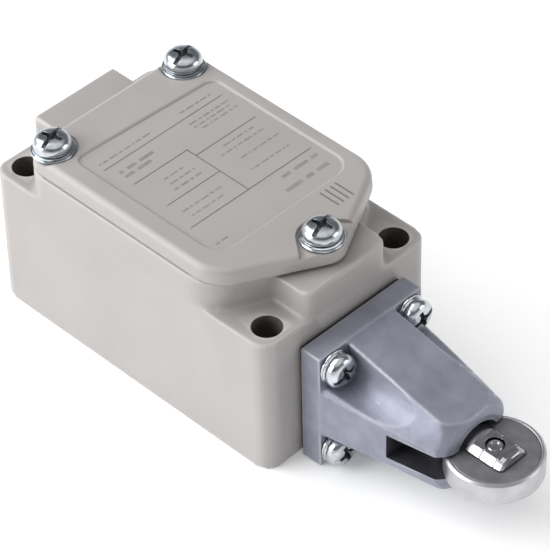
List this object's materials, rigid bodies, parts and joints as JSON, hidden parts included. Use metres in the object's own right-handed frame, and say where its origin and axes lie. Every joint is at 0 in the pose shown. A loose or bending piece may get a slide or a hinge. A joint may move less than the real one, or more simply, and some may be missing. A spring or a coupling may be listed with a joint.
{
  "type": "limit switch",
  "caption": "Box-type limit switch with a top roller plunger: die-cast housing, screwed cover, conduit entry and a tapered head whose roller is pushed in to switch two contact pairs",
  "frame": {"origin": "middle of the four mounting holes, on the mounting face", "axes": "+X from the conduit end to the head and roller, +Y across the body, +Z out of the mounting face towards the cover"},
  "size_m": [0.1085, 0.0392, 0.0403],
  "materials": {
    "painted_casting": "satin light warm grey paint on die-cast aluminium",
    "bare_casting": "bare die-cast, matte bluish grey",
    "zinc_plated_steel": "bright zinc plate",
    "ground_steel": "ground and polished",
    "spring_wire": "drawn wire, oiled",
    "contact_brass": "stamped, satin",
    "bush_bronze": "sintered bronze, satin",
    "seal_rubber": "matte nitrile rubber",
    "black_resin": "moulded phenolic",
    "red_resin": "moulded phenolic"
  },
  "bodies": {
    "housing": {"contact_spring": "spring_wire", "cover": "painted_casting", "cover_gasket": "seal_rubber", "cover_screw_conduit_far": "zinc_plated_steel", "cover_screw_conduit_near": "zinc_plated_steel", "cover_screw_head_end": "zinc_plated_steel", "cover_washer_conduit_far": "zinc_plated_steel", "cover_washer_conduit_near": "zinc_plated_steel", "cover_washer_head_end": "zinc_plated_steel", "ground_screw": "zinc_plated_steel", "ground_washer": "zinc_plated_steel", "head": "bare_casting", "head_gasket": "seal_rubber", "head_screw_bottom_far": "zinc_plated_steel", "head_screw_bottom_near": "zinc_plated_steel", "head_screw_top_far": "zinc_plated_steel", "head_screw_top_near": "zinc_plated_steel", "head_washer_bottom_far": "zinc_plated_steel", "head_washer_bottom_near": "zinc_plated_steel", "head_washer_top_far": "zinc_plated_steel", "head_washer_top_near": "zinc_plated_steel", "housing": "painted_casting", "overtravel_spring": "spring_wire", "plunger_bush": "bush_bronze", "return_spring": "spring_wire", "rod_guide": "ground_steel", "screw_unit_far": "zinc_plated_steel", "screw_unit_near": "zinc_plated_steel", "switch_case": "black_resin", "switch_lid": "red_resin", "terminal_closed_far": "contact_brass", "terminal_closed_near": "contact_brass", "terminal_open_far": "contact_brass", "terminal_open_near": "contact_brass", "terminal_screw_closed_far": "zinc_plated_steel", "terminal_screw_closed_near": "zinc_plated_steel", "terminal_screw_open_far": "zinc_plated_steel", "terminal_screw_open_near": "zinc_plated_steel", "terminal_washer_closed_far": "zinc_plated_steel", "terminal_washer_closed_near": "zinc_plated_steel", "terminal_washer_open_far": "zinc_plated_steel", "terminal_washer_open_near": "zinc_plated_steel", "wiper_seal": "seal_rubber"},
    "plunger": {"plunger": "ground_steel", "roller_pin": "ground_steel", "spring_collar": "ground_steel"},
    "roller": {"roller": "ground_steel"},
    "inner_rod": {"inner_rod": "ground_steel", "switch_plunger": "red_resin"},
    "contacts": {"contact_carrier": "red_resin", "contact_bridge_closed": "contact_brass", "contact_bridge_open": "contact_brass"}
  },
  "joints": [
    {"name": "plunger_slide", "type": "slide", "parent": "housing", "child": "plunger", "axis": [-1, 0, 0], "range_m": [0, 0.0073], "stiffness_N_per_m": 800, "springref_m": -0.008, "deforming": ["return_spring", "overtravel_spring"]},
    {"name": "roller_spin", "type": "hinge", "parent": "plunger", "child": "roller", "pos_m": [0.0665, 0, 0.0125], "axis": [0, 0, 1], "continuous": true},
    {"name": "inner_rod_slide", "type": "slide", "parent": "housing", "child": "inner_rod", "axis": [-1, 0, 0], "range_m": [0, 0.0037], "deforming": ["contact_spring"]},
    {"name": "contact_slide", "type": "slide", "parent": "housing", "child": "contacts", "axis": [1, 0, 0], "range_m": [0, 0.0009]}
  ],
  "couplings": [
    {"joint": "inner_rod_slide", "follows": "plunger_slide", "ratio": 0.5},
    {"joint": "contact_slide", "follows": "plunger_slide", "ratio": 0.12}
  ]
}
